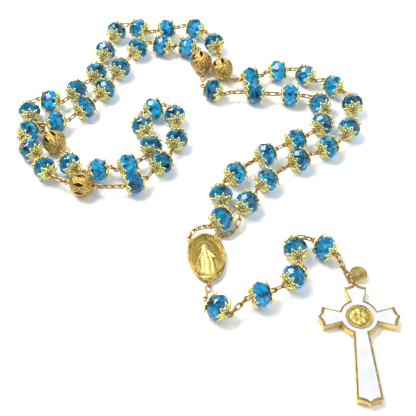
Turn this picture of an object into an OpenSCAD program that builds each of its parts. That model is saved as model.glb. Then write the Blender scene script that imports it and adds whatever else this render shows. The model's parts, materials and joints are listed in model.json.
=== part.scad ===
/* [Glass beads] */
// Diameter of a glass bead across its equator
bead_d = 8.2; // [7:0.1:8.4]
// Thickness of a glass bead along its wire
bead_t = 6; // [5:0.1:6]
// Diameter of the flat end of a glass bead
bead_flat_d = 3.8; // [3:0.1:4.4]

/* [Paters] */
// Diameter of a hollow gilt pater ball
ball_d = 8.4; // [7.5:0.1:8.5]
// Wall thickness of a pater ball
ball_wall = 0.5; // [0.3:0.05:0.8]
// Number of slots cut in a pater ball
ball_slots = 8; // [4:1:8]

/* [Wire] */
// Diameter of the wire that loops and links are bent from
wire_d = 0.54; // [0.4:0.01:0.56]
// Diameter of the straight shaft that a bead turns on
shaft_d = 0.44; // [0.36:0.01:0.46]
// Radial play of a bead on its shaft
bore_play = 0.05; // [0.02:0.01:0.09]
// Radius of a wire loop, to the middle of its wire
eye_r = 0.8; // [0.75:0.01:0.82]

/* [Medal] */
// Width of the oval centre medal
medal_w = 12.4; // [12:0.1:13]
// Height of the oval centre medal
medal_h = 16.6; // [16:0.1:17.4]
// Thickness of the medal at its rim
medal_t = 2; // [1.6:0.1:2.4]

/* [Cross] */
// Distance from the middle of the cross to the end of a side arm
arm_side = 12.4; // [11:0.1:13]
// Distance from the middle of the cross to its foot
arm_foot = 28.8; // [26:0.1:30]
// Thickness of the cross
cross_t = 2.6; // [2:0.1:3]
// Diameter of the round boss behind the medallion
boss_d = 12; // [11:0.1:13]
// Diameter of the medallion
medallion_d = 8.2; // [7:0.1:9]

/* [Hidden] */
$fn = 48;

// Colours
gold = [0.83, 0.66, 0.27];
old_gold = [0.72, 0.55, 0.22];
blue = [0.05, 0.45, 0.72];
white = [0.95, 0.95, 0.93];

// Heights of the pins above the surface that the rosary lies on
bead_z = bead_d / 2;
ball_z = ball_d / 2;
// Distance from the middle of a bead to the middle of each of its loops
bead_reach = 4.5;
ball_reach = 5.3;
// Half the distance between the middles of two wires that hook round each other
hook = 0.35;
// Radius of a link's round ends
link_r = 2 * hook;
// The loops of the medal, the cross and the charm
big_eye_r = 0.9;
big_wire_d = 0.5;
// A single link bridges a gap up to this, three links one up to twice this
link_step = 3.8;

// Each bead lies at [x, y] with its wire at this heading in degrees.
// Decades 1 and 5 leave the medal, decade 4 runs from pater 4 to pater 3.
decade_1 = [
    [13.5, 19.5, 55], [20.5, 29.5, 45], [32, 39, 35], [42.5, 45, 35], [51, 54.5, 65],
    [53.5, 67, 90], [47.5, 77, 135], [37.5, 83, 135], [27, 85.5, -170], [16.5, 81.5, -165]
];
decade_2 = [
    [3, 102, 105], [-4.5, 111, 155], [-16, 110.5, -165], [-27, 111, 150], [-36, 109, -110],
    [-39.5, 97, -100], [-42, 84.5, -105], [-48.5, 74.5, -120], [-57.5, 69, 170],
    [-64.5, 63, -80]
];
decade_3 = [
    [-47, 37, -55], [-37, 34.5, 15], [-27, 36.5, 30], [-19.5, 45.5, 80], [-23, 55.5, 120],
    [-19.5, 64.5, 30], [-11.5, 61, -75], [-10.5, 49, -105], [-15.5, 37.5, -125],
    [-24.5, 28.5, -155]
];
decade_4 = [
    [-7.5, 99.5, 165], [-17.5, 100.5, 160], [-27, 98.5, -120], [-33, 87, -115],
    [-38, 75, -115], [-44.5, 65, -130], [-54, 57.5, -165], [-63.5, 53, -125],
    [-61.5, 44, -40], [-55.5, 35, -55]
];
decade_5 = [
    [4.8, 12.6, 45], [4.8, 22.8, 92], [9.8, 32.7, 45], [20.5, 41.5, 35], [31.5, 48.5, 30],
    [41.5, 56.5, 50], [41.5, 67, 125], [31, 72, 175], [18, 73, 175]
];
decade_5_end = [2.5, 74.5, 150];
paters = [[6, 86.5, 95], [-53.5, 47.5, -50], [-42, 27.5, -10], [-2, 90.5, 95]];
tail = [[3.5, -21.5, -38], [16.5, -17, 20], [27, -10.5, 45], [28.2, 0.3, 100], [37.7, 0.8, -40]];

// The fold line: the left-hand part turns up round a line along Y at this x
fold_x = 10.6;

// The medal lies turned by this much, with three loops
medal_turn = 8;
medal_loops = [[-4.75, 7.25], [4.75, 7.25], [0, -9.3]];
medal_eye_z = 0.65 * medal_t;

// The jump ring stands upright along this heading
ring_at = [45, -10, 1.6];
ring_r = 1.3;
ring_heading = -46;
ring_rise = 38;
charm_heading = 25;
charm_d = 5.5;
charm_t = 0.8;
// The cross lies turned by this much, its loop level with the middle of its thickness
cross_turn = 0;
arm_top = 12;
cross_eye_y = arm_top + 0.75;
cross_rim = 0.56;
enamel_deep = 0.6;
fit_gap = 0.02;
cross_z = cross_t / 2;

function flat_dir(a) = [cos(a), sin(a), 0];
function towards(p, q) = (q - p) / norm(q - p);
function turned(p, a) = [p.x * cos(a) - p.y * sin(a), p.x * sin(a) + p.y * cos(a)];

// The middle of a bead's loop: side -1 is where its wire comes in, 1 where it goes out
function bead_eye(u, side) =
    [u.x, u.y, bead_z] + side * bead_reach * flat_dir(u[2]);
function ball_eye(u, side) =
    [u.x, u.y, ball_z] + side * ball_reach * flat_dir(u[2]);
function medal_eye(i) = concat(turned(medal_loops[i], medal_turn), [medal_eye_z]);

// The point in a flat loop of radius r, centred at e, where a link pulled towards p hooks it
function hook_at(e, p, r) = e + (r - hook) * towards(e, [p.x, p.y, e.z]);

// How many links fill a straight gap. It is odd, so that both end links stand upright.
function link_count(gap) = gap <= link_step ? 1 : gap <= 2 * link_step ? 3 : 5;

// The hooking points of a straight run of links between two loops
function straight_run(a, b, ra, rb) =
    let (p = hook_at(a, b, ra), q = hook_at(b, a, rb), n = link_count(norm(q - p)))
    [for (i = [0 : n]) p + (q - p) * i / n];

// The hooking points of a run that bends through the points of mid
function bent_run(a, mid, b, ra, rb) =
    concat([hook_at(a, mid[0], ra)], mid, [hook_at(b, mid[len(mid) - 1], rb)]);

// Where the jump ring's wire stands upright, on its near side (-1) and its far side (1)
ring_dir = flat_dir(ring_heading);
ring_drop = ring_at.z - cross_z;
ring_side = sqrt(ring_r * ring_r - ring_drop * ring_drop);
ring_ray = [
    -cos(ring_rise) * ring_dir.x, -cos(ring_rise) * ring_dir.y, sin(ring_rise)
];
ring_hook = ring_at + (ring_r - hook) * ring_ray;
ring_seat = 0.3;
cross_up = flat_dir(90 + cross_turn);
cross_eye = [ring_at.x, ring_at.y, cross_z] + ring_side * ring_dir
    - ring_seat * cross_up;
charm_eye = [ring_at.x, ring_at.y, cross_z] - ring_side * ring_dir
    + ring_seat * flat_dir(charm_heading);

// Bent chains, by the points where one link hooks the next
medal_left_run = bent_run(
    medal_eye(0), [[-5, 8.1, 1.8], [-3.8, 9.3, 2.3], [-2.3, 9.9, 2.8], [-0.6, 9.9, 3.4]],
    bead_eye(decade_5[0], -1), big_eye_r, eye_r
);
medal_right_run = bent_run(
    medal_eye(1), [[6.2, 7.9, 1.3], [8.4, 9, 1.6], [9.9, 10.9, 2.2], [10.8, 13.2, 3.1]],
    bead_eye(decade_1[0], -1), big_eye_r, eye_r
);
tail_run = bent_run(
    medal_eye(2), [[0.8, -12.6, 2.2], [0.4, -15.4, 3.1]], bead_eye(tail[0], -1), big_eye_r, eye_r
);
pater_1_run = bent_run(
    bead_eye(decade_1[9], 1), [[fold_x - hook, 80.3, bead_z], [8.8, 80.3, bead_z]],
    ball_eye(paters[0], -1), eye_r, eye_r
);
fold_run = bent_run(
    bead_eye(decade_5[8], 1), [[fold_x - hook, 73.3, bead_z], [8.6, 73.3, bead_z]],
    bead_eye(decade_5_end, -1), eye_r, eye_r
);
pater_2_run = bent_run(
    bead_eye(decade_2[9], 1),
    [
        [-62.1, 58.8, 3.6], [-60.8, 58.4, 2.9], [-59.7, 57.4, 2.5], [-58.9, 55.6, 2.5],
        [-58.6, 54, 3], [-57.9, 52.8, 3.7]
    ],
    ball_eye(paters[1], -1), eye_r, eye_r
);
tail_5_run = bent_run(
    bead_eye(tail[3], 1), [[29.5, 5.1, 4.1], [31.8, 4.8, 4.1]], bead_eye(tail[4], -1), eye_r, eye_r
);
drop_run = concat(
    [hook_at(bead_eye(tail[4], 1), [41.8, -4.7], eye_r)],
    [[41.8, -4.7, 4], [42.5, -6.4, 3.8], [43.4, -8, 3.1], ring_hook]
);

// ---- shapes that repeat ----

module at_bead(u, z) {
    translate([u.x, u.y, z]) rotate([0, 0, u[2]]) rotate([0, 90, 0]) children();
}

// A ring of wire, flat, centred on the origin
module wire_ring(r, d) {
    rotate_extrude() translate([r, 0]) circle(d = d, $fn = 24);
}

// An oval link of wire from hooking point p to hooking point q
module link(p, q, lies_flat) {
    v = q - p;
    // Its straight sides, to the hundredth of a millimetre
    straight = round(100 * (norm(v) + 2 * hook - 2 * link_r)) / 100;
    translate(p - hook * v / norm(v))
        rotate([0, -asin(v.z / norm(v)), atan2(v.y, v.x)])
            rotate([lies_flat ? 0 : 90, 0, 0]) {
                translate([link_r, 0, 0]) rotate([0, 0, 90]) half_ring();
                translate([link_r + straight, 0, 0]) rotate([0, 0, -90]) half_ring();
                for (side = [-1, 1])
                    translate([link_r, side * link_r, 0])
                        rotate([0, 90, 0]) cylinder(d = wire_d, h = straight, $fn = 24);
            }
}

module half_ring() {
    rotate_extrude(angle = 180) translate([link_r, 0]) circle(d = wire_d, $fn = 24);
}

// The links of a run from link number first to link number last
module run_links(run, first, last) {
    for (i = [first : last]) link(run[i], run[i + 1], i % 2 == 1);
}

module whole_run(run) {
    run_links(run, 0, len(run) - 2);
}

// Links between each bead of a row and the next
module row_links(row) {
    for (i = [0 : len(row) - 2])
        whole_run(straight_run(bead_eye(row[i], 1), bead_eye(row[i + 1], -1), eye_r, eye_r));
}

// A bead's solid of revolution, with its axis along Z
module bead_body() {
    half = bead_t / 2;
    bore = shaft_d / 2 + bore_play;
    rotate_extrude(convexity = 4)
        polygon([
            [bore, -half], [bead_flat_d / 2, -half], [0.41 * bead_d, -0.32 * bead_t],
            [bead_d / 2, -0.06 * bead_t], [bead_d / 2, 0.06 * bead_t],
            [0.41 * bead_d, 0.32 * bead_t], [bead_flat_d / 2, half], [bore, half]
        ]);
}

// A flower cap's cup, over the end of a bead at +Z
module cap_body() {
    half = bead_t / 2;
    bore = shaft_d / 2 + bore_play;
    play = 0.05;
    skin = 0.3;
    rotate_extrude(convexity = 4)
        polygon([
            [bore, half + play], [bead_flat_d / 2 + 0.02, half + play],
            [0.38 * bead_d, half - 0.78], [0.405 * bead_d, half - 0.5],
            [bead_flat_d / 2 + 0.15, half + play + skin], [bore, half + play + skin]
        ]);
}

// Two loops of wire at the ends of a straight shaft along Z
module pin_body(reach) {
    cylinder(d = shaft_d, h = 2 * (reach - eye_r), center = true, $fn = 24);
    for (side = [-1, 1])
        translate([0, 0, side * reach]) rotate([90, 0, 0]) wire_ring(eye_r, wire_d);
}

module beads(row) {
    color(blue) for (u = row) at_bead(u, bead_z) bead_body();
}

module caps(row) {
    color(gold)
        for (u = row, side = [0, 180]) at_bead(u, bead_z) rotate([side, 0, 0]) cap_body();
}

module bead_pins(row) {
    color(old_gold) for (u = row) at_bead(u, bead_z) rotate([0, 0, 90]) pin_body(bead_reach);
}

// A hollow ball with a bore along Z and slots round its waist
module ball_body() {
    slot_r = 3.2;
    slot_w = 1.2;
    difference() {
        sphere(d = ball_d);
        sphere(d = ball_d - 2 * ball_wall);
        cylinder(d = shaft_d + 2 * bore_play, h = 2 * ball_d, center = true, $fn = 24);
        for (i = [0 : ball_slots - 1])
            rotate([90, 0, i * 360 / ball_slots])
                linear_extrude(height = ball_d) intersection() {
                    translate([slot_r - slot_w / 2, 0]) circle(r = slot_r);
                    translate([slot_w / 2 - slot_r, 0]) circle(r = slot_r);
                }
    }
}

module ball(n) {
    color(gold) at_bead(paters[n], ball_z) ball_body();
}

module ball_pin(n) {
    color(old_gold) at_bead(paters[n], ball_z) rotate([0, 0, 90]) pin_body(ball_reach);
}

// ---- centre medal ----

function oval(w, h) = [for (a = [0 : 5 : 355]) [w / 2 * cos(a), h / 2 * sin(a)]];

module centre_medal() {
    rim = 0.7;
    field_drop = 0.5;
    color(gold) rotate([0, 0, medal_turn]) {
        difference() {
            linear_extrude(height = medal_t) polygon(oval(medal_w, medal_h));
            translate([0, 0, medal_t - field_drop])
                linear_extrude(height = medal_t) polygon(oval(medal_w - 2 * rim, medal_h - 2 * rim));
        }
        for (p = medal_loops)
            translate([p.x, p.y, medal_eye_z]) wire_ring(big_eye_r, big_wire_d);
        for (p = medal_loops) medal_lug(p);
    }
}

// The neck between the medal's edge and a loop
module medal_lug(p) {
    a = atan2(p.y, p.x);
    lug_w = 0.8;
    reach = norm(p) - big_eye_r;
    translate([0, 0, medal_eye_z]) rotate([0, 0, a])
        translate([reach - 1.2, -lug_w / 2, -0.25]) cube([1.2, lug_w, 0.5]);
}

// A robed figure in low relief, with rays from its hands
module medal_relief() {
    base = medal_t - 0.5;
    color(gold) rotate([0, 0, medal_turn]) translate([0, 0, base]) {
        linear_extrude(height = 0.4)
            polygon([[-1.9, -5.6], [1.9, -5.6], [1.5, -1], [1.1, 2.4], [-1.1, 2.4], [-1.5, -1]]);
        cylinder(r = 1, h = 0.2);
        translate([0, 3.5, 0]) cylinder(r = 1, h = 0.5);
        translate([0, 3.5, 0]) cylinder(r = 1.5, h = 0.25);
        translate([0, 2.5, 0.1]) cube([1.2, 0.8, 0.2], center = true);
    }
}

// ---- cross, charm and jump ring ----

// One arm from the middle along +X, flared, with a bracket-shaped end
module arm(reach, waist, flare, tip) {
    polygon([
        [0, -waist / 2], [reach - tip, -flare / 2], [reach - 0.8 * tip, -0.3 * flare],
        [reach - 0.5 * tip, -0.13 * flare], [reach, 0], [reach - 0.5 * tip, 0.13 * flare],
        [reach - 0.8 * tip, 0.3 * flare], [reach - tip, flare / 2], [0, waist / 2]
    ]);
}

// The cross's outline, drawn in by inset all round
module cross_outline(inset) {
    side_waist = 1 - 2 * inset;
    side_flare = 7 - 2 * inset;
    foot_waist = 3.9 - 2 * inset;
    foot_flare = 7.4 - 2 * inset;
    end_inset = 1.5 * inset;
    circle(d = boss_d - 2 * inset, $fn = 96);
    for (a = [0, 180]) rotate(a) arm(arm_side - end_inset, side_waist, side_flare, 1.4);
    rotate(90) arm(arm_top - end_inset, side_waist, side_flare, 1.4);
    rotate(-90) arm(arm_foot - end_inset, foot_waist, foot_flare, 1.5);
}

module at_cross() {
    middle = cross_eye - cross_eye_y * cross_up;
    translate([middle.x, middle.y, 0]) rotate([0, 0, cross_turn]) children();
}

module cross_frame() {
    color(gold) at_cross() {
        difference() {
            linear_extrude(height = cross_t) cross_outline(0);
            translate([0, 0, cross_t - enamel_deep])
                linear_extrude(height = cross_t) cross_outline(cross_rim);
        }
        translate([0, cross_eye_y, cross_z]) wire_ring(big_eye_r, big_wire_d);
    }
}

module cross_enamel() {
    color(white) at_cross() translate([0, 0, cross_t - enamel_deep])
        linear_extrude(height = enamel_deep - 0.1) difference() {
            cross_outline(cross_rim + fit_gap);
            circle(d = medallion_d + 2 * fit_gap);
        }
}

module cross_medallion() {
    color(gold) at_cross() translate([0, 0, cross_t - enamel_deep]) difference() {
        cylinder(d = medallion_d, h = enamel_deep + 0.25);
        translate([0, 0, enamel_deep]) cylinder(d = medallion_d - 1, h = enamel_deep);
    }
}

module jump_ring() {
    color(old_gold) translate(ring_at) rotate([90, 0, ring_heading]) wire_ring(ring_r, wire_d);
}

module charm() {
    disc_reach = big_eye_r + charm_d / 2;
    color(old_gold) translate(charm_eye) {
        wire_ring(big_eye_r, big_wire_d);
        translate(disc_reach * flat_dir(charm_heading))
            cylinder(d = charm_d, h = charm_t, center = true);
    }
}

module drop_chain() {
    color(old_gold) whole_run(drop_run);
}

// ---- links of each decade ----

module decade_1_links() {
    color(old_gold) {
        whole_run(medal_right_run);
        row_links(decade_1);
        run_links(pater_1_run, 0, 0);
    }
}

module decade_2_links() {
    color(old_gold) {
        run_links(pater_1_run, 1, 2);
        whole_run(straight_run(ball_eye(paters[0], 1), bead_eye(decade_2[0], -1), eye_r, eye_r));
        row_links(decade_2);
        whole_run(pater_2_run);
    }
}

module decade_3_links() {
    color(old_gold) {
        whole_run(straight_run(ball_eye(paters[1], 1), bead_eye(decade_3[0], -1), eye_r, eye_r));
        row_links(decade_3);
        whole_run(straight_run(bead_eye(decade_3[9], 1), ball_eye(paters[2], 1), eye_r, eye_r));
    }
}

module decade_4_links() {
    color(old_gold) {
        run_links(fold_run, 1, 2);
        whole_run(straight_run(bead_eye(decade_5_end, 1), ball_eye(paters[3], -1), eye_r, eye_r));
        whole_run(straight_run(ball_eye(paters[3], 1), bead_eye(decade_4[0], -1), eye_r, eye_r));
        row_links(decade_4);
        whole_run(straight_run(bead_eye(decade_4[9], 1), ball_eye(paters[2], -1), eye_r, eye_r));
    }
}

module decade_5_links() {
    color(old_gold) {
        whole_run(medal_left_run);
        row_links(decade_5);
        run_links(fold_run, 0, 0);
    }
}

module tail_1_links() {
    color(old_gold) whole_run(tail_run);
}

module tail_5_links() {
    color(old_gold) whole_run(tail_5_run);
}

// The links that join tail bead n to the one before it, counted from 0
module tail_link(n) {
    color(old_gold)
        whole_run(straight_run(bead_eye(tail[n - 1], 1), bead_eye(tail[n], -1), eye_r, eye_r));
}

centre_medal();
medal_relief();
beads(decade_1);  // decade_1_beads
caps(decade_1);  // decade_1_caps
bead_pins(decade_1);  // decade_1_pins
decade_1_links();
beads(decade_2);  // decade_2_beads
caps(decade_2);  // decade_2_caps
bead_pins(decade_2);  // decade_2_pins
decade_2_links();
beads(decade_3);  // decade_3_beads
caps(decade_3);  // decade_3_caps
bead_pins(decade_3);  // decade_3_pins
decade_3_links();
beads(decade_4);  // decade_4_beads
caps(decade_4);  // decade_4_caps
bead_pins(decade_4);  // decade_4_pins
decade_4_links();
beads(decade_5);  // decade_5_beads
caps(decade_5);  // decade_5_caps
bead_pins(decade_5);  // decade_5_pins
decade_5_links();
beads([decade_5_end]);  // decade_5_end_bead
caps([decade_5_end]);  // decade_5_end_caps
bead_pins([decade_5_end]);  // decade_5_end_pin
ball(0);  // pater_1_ball
ball_pin(0);  // pater_1_pin
ball(1);  // pater_2_ball
ball_pin(1);  // pater_2_pin
ball(2);  // pater_3_ball
ball_pin(2);  // pater_3_pin
ball(3);  // pater_4_ball
ball_pin(3);  // pater_4_pin
beads([tail[0]]);  // tail_1_bead
caps([tail[0]]);  // tail_1_caps
bead_pins([tail[0]]);  // tail_1_pin
tail_1_links();
beads([tail[1]]);  // tail_2_bead
caps([tail[1]]);  // tail_2_caps
bead_pins([tail[1]]);  // tail_2_pin
tail_link(1);  // tail_2_links
beads([tail[2]]);  // tail_3_bead
caps([tail[2]]);  // tail_3_caps
bead_pins([tail[2]]);  // tail_3_pin
tail_link(2);  // tail_3_link
beads([tail[3]]);  // tail_4_bead
caps([tail[3]]);  // tail_4_caps
bead_pins([tail[3]]);  // tail_4_pin
tail_link(3);  // tail_4_link
beads([tail[4]]);  // tail_5_bead
caps([tail[4]]);  // tail_5_caps
bead_pins([tail[4]]);  // tail_5_pin
tail_5_links();
drop_chain();
jump_ring();
charm();
cross_frame();
cross_enamel();
cross_medallion();
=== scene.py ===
"""A rosary of faceted glass beads on gold wire, laid out on a pale surface.

The CAD wire, balls, medal body, cross and charm stay and get new materials. The glass beads,
their filigree caps and the two reliefs are built here, at the places their CAD nodes give.
"""

import json
import math

import bmesh
import bpy
import numpy as np
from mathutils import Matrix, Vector


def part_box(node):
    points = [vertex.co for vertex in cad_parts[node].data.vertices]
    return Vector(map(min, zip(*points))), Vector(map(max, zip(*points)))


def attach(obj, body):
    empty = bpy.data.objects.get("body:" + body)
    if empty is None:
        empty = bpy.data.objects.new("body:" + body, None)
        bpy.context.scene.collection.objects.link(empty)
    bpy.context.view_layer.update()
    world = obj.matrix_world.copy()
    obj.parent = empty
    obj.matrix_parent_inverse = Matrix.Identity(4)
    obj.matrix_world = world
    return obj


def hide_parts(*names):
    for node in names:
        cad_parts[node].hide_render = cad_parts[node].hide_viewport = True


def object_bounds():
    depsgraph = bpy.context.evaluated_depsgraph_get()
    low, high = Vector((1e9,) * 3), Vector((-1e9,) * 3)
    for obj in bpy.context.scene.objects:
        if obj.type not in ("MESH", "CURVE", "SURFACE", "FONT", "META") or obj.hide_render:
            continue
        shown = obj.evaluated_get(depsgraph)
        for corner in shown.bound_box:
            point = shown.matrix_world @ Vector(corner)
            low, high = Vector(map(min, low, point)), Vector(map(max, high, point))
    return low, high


MM = 0.001
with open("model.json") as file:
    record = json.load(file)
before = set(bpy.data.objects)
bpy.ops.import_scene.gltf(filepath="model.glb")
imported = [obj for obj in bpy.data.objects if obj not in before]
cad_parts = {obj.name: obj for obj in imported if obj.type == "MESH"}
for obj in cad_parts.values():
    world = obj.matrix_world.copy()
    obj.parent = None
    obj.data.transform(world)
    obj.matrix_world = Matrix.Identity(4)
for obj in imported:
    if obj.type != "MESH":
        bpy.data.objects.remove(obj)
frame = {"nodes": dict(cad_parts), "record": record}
cad_low, cad_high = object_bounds()
nodes = frame["nodes"]
body_of_node = {
    node: body
    for body, members in frame["record"]["behaviour"]["bodies"].items()
    for node in members
}

# ---- sizes, in millimetres, and turns, in radians ----

FACETS = 9  # facets round a glass bead
BORE_R = 0.27
# Rings of a glass bead's corners from its flat end to its equator: radius, height, half turn
BEAD_RINGS = [(1.9, 3.0, 0), (3.0, 2.03, 1), (3.8, 0.97, 0), (4.1, 0.0, 1)]
BEAD_SPIN = 1.9  # turn about the wire from one bead to the next, so that facets differ
CAP_SPIN = 0.7  # the same for caps
CAP_PAIR_SPIN = 0.4  # turn between the two caps of a bead

PETALS = 9  # petals of a flower cap
PETAL_SPREAD = 0.4  # half a petal's foot, as a share of the angle between petals
TIP_LIFT = 0.5  # how far a petal's tip curls up
CAP_TOP = 3.24  # height of a cap's flat middle above the bead's centre
CAP_FLAT_R = 1.75
CAP_COLLAR_R = 0.62  # the ring round the pin
CAP_COLLAR_WIRE_R = 0.2
CAP_RING_STEPS = 20
CAP_TIP_R = 3.7
CAP_DROP = 1.35  # how far a petal's tip lies below the flat middle
CAP_WIRE_R = 0.17
CAP_RIB_R = (CAP_COLLAR_R, 1.2, CAP_FLAT_R, 2.3, 2.8)  # where a petal's middle rib runs
GRAIN_R = 0.3
NOTCH_GRAIN_R = CAP_FLAT_R + 0.8  # how far out the grains between petals sit

SAME_HEIGHT = 0.01  # corners closer in height than this lie on one flat face
GROOVE = 0.5  # depth of the medal's field below its rim
RELIEF_GAP = 0.02  # free space round the medal's relief
RELIEF_LIFT = 0.01  # how far the figure's base lies above the medal's field
PLATE_T = 0.05  # how far a relief's plate reaches below its base
MEDALLION_BASE = 0.5  # height of the rosette's plate above the medallion's underside
MEDAL_BORDER_BEADS = 44
HALO_STARS = 9
RAYS = 5  # rays from each hand
ROSETTE_LEAVES = 4
ROSETTE_BORDER_BEADS = 30


# ---- reading the frame ----


def points_of(node):
    """The corners of a CAD node, in millimetres."""
    mesh = nodes[node].data
    points = np.empty(len(mesh.vertices) * 3)
    mesh.vertices.foreach_get("co", points)
    return points.reshape(-1, 3) / MM


def solids_of(node):
    """The corners of each separate solid in a CAD node, found by joining corners along edges."""
    mesh = nodes[node].data
    points = points_of(node)
    _, same = np.unique(np.round(points, 4), axis=0, return_inverse=True)
    same = same.reshape(-1)
    ends = np.empty(len(mesh.edges) * 2, dtype=int)
    mesh.edges.foreach_get("vertices", ends)
    first, second = same[ends].reshape(-1, 2).T
    group = np.arange(same.max() + 1)
    while True:
        low = np.minimum(group[first], group[second])
        before = group.copy()
        np.minimum.at(group, first, low)
        np.minimum.at(group, second, low)
        group = group[group]
        if (group == before).all():
            break
    label = group[same]
    return [points[label == g] for g in np.unique(label)]


def long_axis(points):
    """The middle of a set of points and the directions of its length, width and thickness."""
    _, directions = np.linalg.eigh(np.cov((points - points.mean(axis=0)).T))
    axes = directions.T[::-1].copy()
    along = points @ axes.T
    middle = (along.min(axis=0) + along.max(axis=0)) / 2 @ axes
    return middle, axes


def turn_to(direction):
    """A rotation matrix that takes +Z to a direction."""
    return np.array(Vector(direction).to_track_quat("Z", "Y").to_matrix())


def spun(angle):
    """A rotation matrix about Z."""
    c, s = math.cos(angle), math.sin(angle)
    return np.array([[c, -s, 0], [s, c, 0], [0, 0, 1]])


def across_and_up(axes):
    """Which ways are across and up on a part that lies flat. Up is its length, towards +Y."""
    up = axes[0] * math.copysign(1, axes[0][1])
    return np.array([up[1], -up[0], 0.0]), up


# ---- building meshes ----


def face_outwards(mesh):
    """Turns the faces of every closed part of a mesh outwards."""
    work = bmesh.new()
    work.from_mesh(mesh)
    bmesh.ops.recalc_face_normals(work, faces=work.faces)
    work.to_mesh(mesh)
    work.free()


class Shape:
    """Corners and faces, gathered before they become a mesh."""

    def __init__(self):
        self.points, self.faces, self.count = [], [], 0

    def add(self, points, faces):
        """Adds corners and the faces that number them from 0."""
        self.points.append(np.asarray(points, dtype=float))
        self.faces += [tuple(i + self.count for i in f) for f in faces]
        self.count += len(points)

    def placed(self, other, turn, middle):
        """Adds another shape, turned and moved."""
        self.add(np.concatenate(other.points) @ turn.T + middle, other.faces)

    def make(self, name, body, slot, material, smooth=True):
        """Makes the object, which rides on a body."""
        mesh = bpy.data.meshes.new(name)
        mesh.from_pydata(np.concatenate(self.points) * MM, [], self.faces)
        face_outwards(mesh)
        mesh.polygons.foreach_set("use_smooth", [smooth] * len(mesh.polygons))
        mesh.materials.append(material)
        piece = bpy.data.objects.new(name, mesh)
        bpy.context.scene.collection.objects.link(piece)
        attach(piece, body)
        return piece


def strip(a, b, n):
    """Quads between two rings of n corners that start at index a and b."""
    return [(a + i, a + (i + 1) % n, b + (i + 1) % n, b + i) for i in range(n)]


def ring(radius, height, n, half=0):
    """n corners round Z, turned by half a step if half is 1."""
    angles = (np.arange(n) + half / 2) * 2 * math.pi / n
    return np.stack([radius * np.cos(angles), radius * np.sin(angles), np.full(n, height)], 1)


def tube(shape, path, radius, sides=5, closed=False):
    """A round tube along a path. If the path is open, flat faces close its ends."""
    path = np.asarray(path, dtype=float)
    n = len(path)
    if closed:
        ahead = np.roll(path, -1, axis=0) - np.roll(path, 1, axis=0)
    else:
        ahead = np.gradient(path, axis=0)
    ahead /= np.linalg.norm(ahead, axis=1)[:, None]
    side = np.cross(ahead, path - path.mean(axis=0) + [0.0, 0.0, 40.0])
    side /= np.linalg.norm(side, axis=1)[:, None]
    up = np.cross(side, ahead)
    angles = np.arange(sides) * 2 * math.pi / sides
    c, s = np.cos(angles)[None, :, None], np.sin(angles)[None, :, None]
    circle = c * side[:, None] + s * up[:, None]
    points = (path[:, None] + radius * circle).reshape(-1, 3)
    faces = []
    for i in range(n if closed else n - 1):
        faces += strip(i * sides, (i + 1) % n * sides, sides)
    if not closed:
        faces += [tuple(range(sides))[::-1], tuple(range((n - 1) * sides, n * sides))]
    shape.add(points, faces)


def grain(shape, middle, radius, rows=4, n=7):
    """A small ball of metal."""
    heights = [math.pi * k / rows for k in range(1, rows)]
    points = np.concatenate(
        [ring(radius * math.sin(t), radius * math.cos(t), n) for t in heights]
        + [[[0, 0, radius], [0, 0, -radius]]]
    )
    faces = []
    for k in range(rows - 2):
        faces += strip((k + 1) * n, k * n, n)
    top, bottom, last = n * (rows - 1), n * (rows - 1) + 1, n * (rows - 2)
    for i in range(n):
        faces += [(top, i, (i + 1) % n), (bottom, last + (i + 1) % n, last + i)]
    shape.add(points + np.asarray(middle), faces)


def bead_shape():
    """A faceted bead with its wire along Z: rows of kite-shaped facets either side of its girdle."""
    shape = Shape()
    n = FACETS
    half = [ring(r, z, n, k) for r, z, k in BEAD_RINGS]
    lower = [r * [1, 1, -1] for r in half[-2::-1]]
    rings = half + lower
    bore = [ring(BORE_R, z, n) for z in (BEAD_RINGS[0][1], -BEAD_RINGS[0][1])]
    shifts = [k for _, _, k in BEAD_RINGS]
    shifts += shifts[-2::-1]
    faces = []
    last = len(rings) - 1
    for k in range(last + 1):
        here = k * n
        for i in range(n):
            a, b = here + i, here + (i + 1) % n
            # the corner between a and b on the next ring inwards or outwards
            j = (i + shifts[k]) % n
            if k == 0:
                faces.append((a, n + j, b))
            if 0 < k < last:
                faces.append((a, (k + 1) * n + j, b, (k - 1) * n + j))
            if k == last:
                faces.append((b, (k - 1) * n + j, a))
    tops = len(rings) * n
    faces += strip(tops, 0, n) + strip(last * n, tops + n, n) + strip(tops + n, tops, n)
    shape.add(np.concatenate(rings + bore), faces)
    return shape


def cap_point(radius, angle, lift=0.0):
    """A point on a cap's surface."""
    t = max(0.0, (radius - CAP_FLAT_R) / (CAP_TIP_R - CAP_FLAT_R))
    height = CAP_TOP - CAP_DROP * t**1.15 + lift
    return [radius * math.cos(angle), radius * math.sin(angle), height]


def cap_shape():
    """A filigree flower cap over the +Z end of a bead."""
    shape = Shape()
    full = 2 * math.pi
    for radius, wire_r in ((CAP_COLLAR_R, CAP_COLLAR_WIRE_R), (CAP_FLAT_R, CAP_WIRE_R)):
        steps = CAP_RING_STEPS
        circle = [cap_point(radius, full * k / steps) for k in range(steps)]
        tube(shape, circle, wire_r, closed=True)
    step = full / PETALS
    for p in range(PETALS):
        a = p * step
        # the petal's outline, from its foot round the tip and back
        outline = []
        for k in range(9):
            t = k / 4 - 1
            reach = 1 - abs(t)
            radius = CAP_FLAT_R + (CAP_TIP_R - CAP_FLAT_R) * reach
            width = math.copysign(PETAL_SPREAD * step * (1 - reach**2), t)
            outline.append(cap_point(radius, a + width, 0.05 + TIP_LIFT * reach**2))
        tube(shape, outline, CAP_WIRE_R)
        tube(shape, [cap_point(r, a, 0.1) for r in CAP_RIB_R], CAP_WIRE_R)
        grain(shape, cap_point(CAP_TIP_R, a, TIP_LIFT), GRAIN_R)
        grain(shape, cap_point(NOTCH_GRAIN_R, a + step / 2, 0.15), GRAIN_R)
    return shape


# ---- reliefs ----


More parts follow.
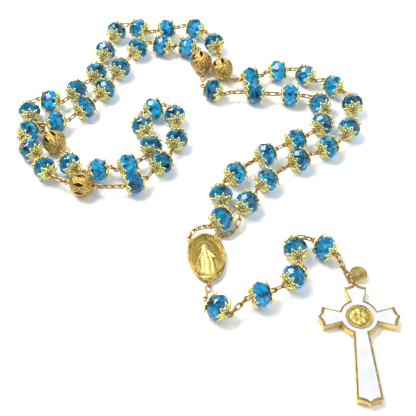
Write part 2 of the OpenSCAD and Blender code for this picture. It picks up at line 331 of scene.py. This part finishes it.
def dome(x, y, cx, cy, rx, ry, height):
    """A rounded bump over an ellipse."""
    inside = 1 - ((x - cx) / rx) ** 2 - ((y - cy) / ry) ** 2
    return height * np.sqrt(np.clip(inside, 0, None))


def limb(x, y, a, b, ra, rb, height):
    """A rounded bar from a to b whose width goes from ra to rb."""
    (ax, ay), (bx, by) = a, b
    dx, dy = bx - ax, by - ay
    t = np.clip(((x - ax) * dx + (y - ay) * dy) / (dx * dx + dy * dy), 0, 1)
    gap = np.hypot(x - ax - t * dx, y - ay - t * dy) / (ra + (rb - ra) * t)
    return height * np.sqrt(np.clip(1 - gap**2, 0, None))


def figure_height(x, y, rx, ry):
    """A robed, veiled figure with open hands, rays and a plain beaded border."""
    s = ry / 8
    x, y = x / s, y / s
    rx, ry = rx / s, ry / s
    edge = np.hypot(x / rx, y / ry)
    angle = np.arctan2(y / ry, x / rx)
    field = 0.02 + 0.012 * np.cos(60 * angle) * np.clip(edge - 0.3, 0, 1)
    beads = 0.16 * np.clip(np.cos(MEDAL_BORDER_BEADS * angle), 0, 1)
    beads = beads * np.exp(-(((edge - 0.93) / 0.03) ** 2))
    line = 0.05 * np.exp(-(((edge - 0.85) / 0.012) ** 2))
    height = field + beads + line
    # rays from the hands
    for side in (-1, 1):
        for k in range(RAYS):
            spread = side * (2.35 + 0.38 * (k - 1))
            ray = limb(x, y, (side * 2.35, -0.9), (spread * 1.15, -4.4 + 0.15 * k), 0.1, 0.16, 0.08)
            height = np.maximum(height, ray)
    # mantle and robe, with folds that run down
    fall = np.clip((2.6 - y) / 8.2, 0, 1)
    half = 1.15 + 1.15 * fall**0.7
    body = 0.4 * np.sqrt(np.clip(1 - (x / half) ** 2, 0, None)) * (y < 2.4) * (y > -5.7)
    folds = 0.05 * np.cos(x / half * 9 + 0.5 * np.sin(y)) * (body > 0)
    height = np.maximum(height, body + folds)
    gown = dome(x, y, 0, -1.4, 0.75, 4.1, 0.5) + 0.03 * np.cos(14 * x)
    height = np.maximum(height, gown)
    for side in (-1, 1):
        sleeve = limb(x, y, (side * 0.9, 1.7), (side * 2.0, -0.1), 0.62, 0.5, 0.42)
        hand = limb(x, y, (side * 2.0, -0.1), (side * 2.45, -0.8), 0.24, 0.2, 0.46)
        height = np.maximum(np.maximum(height, sleeve), hand)
    # veil, head and a calm, plain face
    height = np.maximum(height, dome(x, y, 0, 3.3, 1.12, 1.45, 0.44))
    head = dome(x, y, 0, 3.35, 0.68, 0.9, 0.56)
    brow = -0.03 * np.exp(-(((y - 3.5) / 0.1) ** 2)) * (np.abs(x) > 0.12) * (np.abs(x) < 0.45)
    nose = 0.05 * np.exp(-((x / 0.09) ** 2) - ((y - 3.28) / 0.22) ** 2)
    mouth = -0.025 * np.exp(-((x / 0.2) ** 2) - ((y - 2.93) / 0.05) ** 2)
    height = np.maximum(height, head + (brow + nose + mouth) * (head > 0))
    # a low mound under the feet
    height = np.maximum(height, dome(x, y, 0, -6.2, 2.3, 0.9, 0.26))
    # half a ring of stars round the head
    for k in range(HALO_STARS):
        turn = math.radians(20 + 17.5 * k)
        star = dome(x, y, 2.0 * math.cos(turn), 3.3 + 2.2 * math.sin(turn), 0.2, 0.2, 0.14)
        height = np.maximum(height, star)
    return height


def rosette_height(x, y, rx, ry):
    """A plain rosette of leaves inside a beaded border."""
    edge = np.hypot(x / rx, y / ry)
    angle = np.arctan2(y, x)
    leaf = np.clip(np.cos(ROSETTE_LEAVES * angle), 0, 1) ** 0.6
    leaf = leaf * np.sin(np.clip((edge - 0.12) / 0.6, 0, 1) * math.pi)
    vein = 0.03 * np.cos(36 * angle + 14 * edge)
    small = np.clip(np.cos(ROSETTE_LEAVES * angle + math.pi), 0, 1) ** 0.8
    small = small * np.sin(np.clip((edge - 0.25) / 0.42, 0, 1) * math.pi)
    height = 0.05 + 0.3 * np.maximum(leaf, 0.75 * small) + vein * (edge < 0.74)
    height = np.maximum(height, 0.34 * np.sqrt(np.clip(1 - (edge / 0.17) ** 2, 0, None)))
    border = 0.3 * np.clip(np.cos(ROSETTE_BORDER_BEADS * angle), 0.2, 1)
    border = border * np.exp(-(((edge - 0.84) / 0.045) ** 2))
    rim = 0.34 * np.clip((edge - 0.9) / 0.04, 0, 1)
    return np.maximum(np.maximum(height, border), rim)


def relief(name, body, material, middle, axes, rx, ry, base, height_at, rows, n):
    """A closed oval plate whose top follows a height function, with its depth kept per corner."""
    radii = np.linspace(0, 1, rows + 1)[1:]
    angles = np.arange(n) * 2 * math.pi / n
    x = np.concatenate([[0], np.outer(radii, rx * np.cos(angles)).ravel()])
    y = np.concatenate([[0], np.outer(radii, ry * np.sin(angles)).ravel()])
    height = height_at(x, y, rx, ry)
    top = middle + np.outer(x, axes[0]) + np.outer(y, axes[1])
    top[:, 2] = base + height
    bottom = top[-n:].copy()
    bottom[:, 2] = base - PLATE_T
    faces = [(0, 1 + i, 1 + (i + 1) % n) for i in range(n)]
    for k in range(rows - 1):
        faces += strip(1 + (k + 1) * n, 1 + k * n, n)
    last, foot = 1 + (rows - 1) * n, 1 + rows * n
    faces = [f[::-1] if len(f) == 4 else f for f in faces]
    faces += [f[::-1] for f in strip(foot, last, n)]
    faces.append(tuple(foot + i for i in range(n))[::-1])
    shape = Shape()
    shape.add(np.concatenate([top, bottom]), faces)
    piece = shape.make(name, body, "gold", material)
    # The depth kept per corner drives the painted shade of the struck gilt: low parts are painted
    # shaded.
    depth = piece.data.attributes.new("relief_depth", "FLOAT", "POINT")
    level = np.concatenate([height, np.zeros(n)]) / height.max()
    depth.data.foreach_set("value", level.astype(np.float32))
    return piece


# ---- materials ----


def new_material(name):
    """A material, with its node tree, its shader and the object's own coordinates."""
    material = bpy.data.materials.new(name)
    material.use_nodes = True
    tree = material.node_tree
    shader = tree.nodes["Principled BSDF"]
    place = tree.nodes.new("ShaderNodeTexCoord").outputs["Object"]
    return material, tree, shader, place


def noise(tree, place, size, detail=3.0):
    """Noise whose features are about size millimetres across."""
    node = tree.nodes.new("ShaderNodeTexNoise")
    node.inputs["Scale"].default_value = 1 / (size * MM)
    node.inputs["Detail"].default_value = detail
    tree.links.new(place, node.inputs["Vector"])
    return node.outputs["Fac"]


def ramp(tree, value, stops):
    """Colours that follow a value, through (value, colour) stops."""
    node = tree.nodes.new("ShaderNodeValToRGB")
    elements = node.color_ramp.elements
    while len(elements) < len(stops):
        elements.new(0.5)
    for element, (at, colour) in zip(elements, stops):
        element.position = at
        element.color = (*colour, 1)
    tree.links.new(value, node.inputs["Fac"])
    return node.outputs["Color"]


def span(tree, value, low, high, start=0.0, end=1.0):
    """Stretches a value from start..end to low..high."""
    node = tree.nodes.new("ShaderNodeMapRange")
    node.inputs["From Min"].default_value = start
    node.inputs["From Max"].default_value = end
    node.inputs["To Min"].default_value = low
    node.inputs["To Max"].default_value = high
    tree.links.new(value, node.inputs["Value"])
    return node.outputs["Result"]


def bump(tree, shader, value, depth):
    """Relief in the surface, depth millimetres from a value of 0 to one of 1."""
    node = tree.nodes.new("ShaderNodeBump")
    node.inputs["Distance"].default_value = depth * MM
    node.inputs["Strength"].default_value = 1.0
    tree.links.new(value, node.inputs["Height"])
    tree.links.new(node.outputs["Normal"], shader.inputs["Normal"])


def gold_material(name, painted_shade, light, rough, grain_size, grain_depth, by_depth=False):
    """Gilt metal with painted shade in its hollows (with by_depth, low in a relief), with cloudy
    roughness and a fine surface grain.
    """
    material, tree, shader, place = new_material(name)
    shader.inputs["Metallic"].default_value = 1.0
    if by_depth:
        depth = tree.nodes.new("ShaderNodeAttribute")
        depth.attribute_name = "relief_depth"
        value = depth.outputs["Fac"]
        # Painted shade: the base colour takes the shade colour low in the relief, on the field and
        # in its hollows.
        colour = ramp(tree, value, [(0.02, painted_shade), (0.35, light), (1.0, light)])
    else:
        value = tree.nodes.new("ShaderNodeNewGeometry").outputs["Pointiness"]
        # Painted shade: the base colour takes the shade colour in hollows, where Pointiness is low.
        colour = ramp(tree, value, [(0.42, painted_shade), (0.5, light), (0.6, light)])
    tree.links.new(colour, shader.inputs["Base Color"])
    cloudy = noise(tree, place, 2.5)
    worn = span(tree, cloudy, rough * 0.7, rough * 1.4, 0.3, 0.7)
    tree.links.new(worn, shader.inputs["Roughness"])
    bump(tree, shader, noise(tree, place, grain_size, 2.0), grain_depth)
    return material


def stardust_material():
    """Gilt stamped all over with fine sparkling points; their sparkle is partly painted, as a
    painted highlight on each point's top and painted shade in the grooves between them.
    """
    material, tree, shader, place = new_material("stardust_gilt")
    shader.inputs["Metallic"].default_value = 1.0
    cells = tree.nodes.new("ShaderNodeTexVoronoi")
    cells.inputs["Scale"].default_value = 1 / (0.42 * MM)
    tree.links.new(place, cells.inputs["Vector"])
    # Painted highlight and shade: bright in each cell's middle, where the stamped point stands up,
    # and dark at its edges, in the grooves.
    colour = ramp(
        tree, cells.outputs["Distance"],
        [(0.0, (1.0, 0.76, 0.27)), (0.4, (0.64, 0.44, 0.13)), (0.75, (0.19, 0.11, 0.03))],
    )
    tree.links.new(colour, shader.inputs["Base Color"])
    rough = span(tree, cells.outputs["Distance"], 0.22, 0.5, 0.1, 0.7)
    tree.links.new(rough, shader.inputs["Roughness"])
    bump(tree, shader, span(tree, cells.outputs["Distance"], 1, 0, 0, 0.7), 0.14)
    return material


def glass_material():
    """Clear blue crystal glass whose colour shifts a little from place to place."""
    material, tree, shader, place = new_material("blue_crystal")
    colour = ramp(
        tree, noise(tree, place, 2.6, 2.0),
        [(0.36, (0.0, 0.03, 0.09)), (0.48, (0.003, 0.25, 0.52)), (0.64, (0.015, 0.50, 0.84))],
    )
    tree.links.new(colour, shader.inputs["Base Color"])
    shader.inputs["Transmission Weight"].default_value = 0.8
    shader.inputs["IOR"].default_value = 1.52
    scratches = noise(tree, place, 0.5, 2.0)
    tree.links.new(span(tree, scratches, 0.0, 0.05, 0.4, 0.7), shader.inputs["Roughness"])
    return material


def enamel_material():
    """White fired enamel: glossy, with slight waves and faint mottling."""
    material, tree, shader, place = new_material("white_enamel")
    colour = ramp(
        tree, noise(tree, place, 4.0), [(0.3, (0.58, 0.58, 0.60)), (0.7, (0.66, 0.66, 0.67))]
    )
    tree.links.new(colour, shader.inputs["Base Color"])
    tree.links.new(span(tree, noise(tree, place, 1.5), 0.12, 0.22), shader.inputs["Roughness"])
    shader.inputs["Coat Weight"].default_value = 0.5
    bump(tree, shader, noise(tree, place, 3.0, 1.0), 0.04)
    return material


def repaint(node, material):
    """Gives a carried-over CAD node its finished material."""
    for slot in nodes[node].material_slots:
        slot.material = material


# The first colour of each gilt is the painted shade for its hollows, or for the low parts of a
# relief; the second is its own colour.
gold = gold_material("gilt", (0.36, 0.21, 0.05), (0.80, 0.60, 0.21), 0.24, 0.35, 0.012)
filigree = gold_material("filigree_gilt", (0.50, 0.33, 0.08), (1.0, 0.86, 0.30), 0.24, 0.3, 0.015)
wire = gold_material("wire_gilt", (0.11, 0.055, 0.015), (0.42, 0.27, 0.085), 0.26, 0.5, 0.01)
struck = gold_material("struck_gilt", (0.20, 0.14, 0.03), (0.58, 0.45, 0.14), 0.3, 0.3, 0.09, True)
stardust = stardust_material()
crystal = glass_material()
enamel = enamel_material()

# ---- glass beads and their caps ----


def dress_string(string, one_bead, one_cap):
    """Puts a glass bead and two caps on each pin of a row of beads, or of a single one."""
    many = f"{string}_beads" in nodes
    bead_node = f"{string}_beads" if many else f"{string}_bead"
    pin_node = f"{string}_pins" if many else f"{string}_pin"
    cap_node = f"{string}_caps"
    beads, caps = Shape(), Shape()
    for k, pin in enumerate(solids_of(pin_node)):
        middle, axes = long_axis(pin)
        for side, start in ((1, CAP_PAIR_SPIN), (-1, 0.0)):
            turn = turn_to(side * axes[0]) @ spun(CAP_SPIN * k + start)
            caps.placed(one_cap, turn, middle)
        beads.placed(one_bead, turn_to(axes[0]) @ spun(BEAD_SPIN * k), middle)
    piece = beads.make(f"{string}_crystal", body_of_node[bead_node], "blue_glass", crystal, False)
    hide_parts(bead_node)
    piece = caps.make(f"{string}_filigree", body_of_node[cap_node], "gold", filigree)
    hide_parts(cap_node)


strings = [f"decade_{k}" for k in range(1, 6)] + ["decade_5_end"]
strings += [f"tail_{k}" for k in range(1, 6)]
bead, cap = bead_shape(), cap_shape()
for string in strings:
    dress_string(string, bead, cap)

# ---- medal and medallion ----


def add_medal_figure():
    """The figure on the sunk field of the medal."""
    medal = points_of("centre_medal")
    field_z = medal[:, 2].max() - GROOVE
    field = medal[np.abs(medal[:, 2] - field_z) < SAME_HEIGHT]
    middle, axes = long_axis(field)
    across, up = across_and_up(axes)
    half_across = np.abs((field - middle) @ across).max() - RELIEF_GAP
    half_up = np.abs((field - middle) @ up).max() - RELIEF_GAP
    piece = relief(
        "medal_figure", body_of_node["medal_relief"], struck, middle, (across, up),
        half_across, half_up, field_z + RELIEF_LIFT, figure_height, 90, 220,
    )
    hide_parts("medal_relief")


def add_rosette():
    """The rosette on the cross's medallion, which stands as the cross lies."""
    low, high = (np.array(corner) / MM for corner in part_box("cross_medallion"))
    _, axes = long_axis(points_of("cross_frame"))
    radius = (high[0] - low[0]) / 2
    piece = relief(
        "medallion_rosette", body_of_node["cross_medallion"], struck, (low + high) / 2,
        across_and_up(axes), radius, radius, low[2] + MEDALLION_BASE, rosette_height, 60, 180,
    )
    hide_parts("cross_medallion")


add_medal_figure()
add_rosette()

# ---- materials of the CAD nodes that stay ----

WIRE_ENDINGS = ("_pins", "_pin", "_links", "_link")
for node, thing in nodes.items():
    if thing.hide_render:
        continue
    if node.endswith("_ball"):
        repaint(node, stardust)
    elif node.endswith(WIRE_ENDINGS) or node in ("drop_chain", "jump_ring"):
        repaint(node, wire)
    elif node == "cross_enamel":
        repaint(node, enamel)
    else:
        repaint(node, gold)

# ---- floor, light and camera, in metres ----

FLOOR_REACH = 3.0
FLOOR_DROP = 0.0001  # how far the floor lies below the rosary
# The camera looks down at this angle at a point a little towards it from the box's middle
ELEVATION = 50
DISTANCE = 0.28
LOOK_SHIFT = (0.0057, -0.0139)
LOOK_HEIGHT = 0.004
PICTURE_WIDTH = 416  # in pixels
FOCAL = 850  # in pixels
SENSOR = 36  # in millimetres


def add_floor():
    """A wide, pale, matt sheet under the rosary."""
    mesh = bpy.data.meshes.new("floor")
    r = FLOOR_REACH
    mesh.from_pydata([(-r, -r, 0), (r, -r, 0), (r, r, 0), (-r, r, 0)], [], [(0, 1, 2, 3)])
    floor = bpy.data.objects.new("floor", mesh)
    floor.location.z = -FLOOR_DROP
    bpy.context.scene.collection.objects.link(floor)
    paper, tree, shader, place = new_material("pale_paper")
    stops = [(0.3, (0.90, 0.90, 0.90)), (0.7, (0.92, 0.92, 0.92))]
    tree.links.new(ramp(tree, noise(tree, place, 60.0), stops), shader.inputs["Base Color"])
    shader.inputs["Roughness"].default_value = 0.9
    mesh.materials.append(paper)


def add_world():
    """Dim, slightly blue light from all round."""
    world = bpy.data.worlds.new("studio")
    bpy.context.scene.world = world
    world.use_nodes = True
    background = world.node_tree.nodes["Background"]
    background.inputs["Color"].default_value = (0.9, 0.95, 1.0, 1)
    background.inputs["Strength"].default_value = 0.33


def soft_light(name, target, shift, height, size, power):
    """A square lamp, shifted from the target, that looks at it."""
    data = bpy.data.lights.new(name, "AREA")
    data.size, data.energy = size, power
    lamp = bpy.data.objects.new(name, data)
    lamp.location = (target.x + shift[0], target.y + shift[1], height)
    aim = target - Vector(lamp.location)
    lamp.rotation_euler = aim.to_track_quat("-Z", "Y").to_euler()
    bpy.context.scene.collection.objects.link(lamp)


def add_camera(target):
    """The camera, in front of the target and above it."""
    camera = bpy.data.objects.new("camera", bpy.data.cameras.new("camera"))
    camera.data.sensor_width = SENSOR
    camera.data.lens = SENSOR * FOCAL / PICTURE_WIDTH
    camera.data.clip_start = 0.01
    angle = math.radians(ELEVATION)
    camera.location = target + DISTANCE * Vector((0, -math.cos(angle), math.sin(angle)))
    aim = target - camera.location
    camera.rotation_euler = aim.to_track_quat("-Z", "Y").to_euler()
    bpy.context.scene.collection.objects.link(camera)
    bpy.context.scene.camera = camera


add_floor()
add_world()
middle = (cad_low + cad_high) / 2
look = Vector((middle.x + LOOK_SHIFT[0], middle.y + LOOK_SHIFT[1], LOOK_HEIGHT))
soft_light("key", look, (-0.25, 0.15), 0.45, 0.28, 3.7)
soft_light("fill", look, (0.35, -0.2), 0.35, 0.6, 1.8)
soft_light("back", look, (0.05, 0.5), 0.25, 0.4, 1.4)
add_camera(look)
bpy.context.scene.view_settings.view_transform = "Standard"
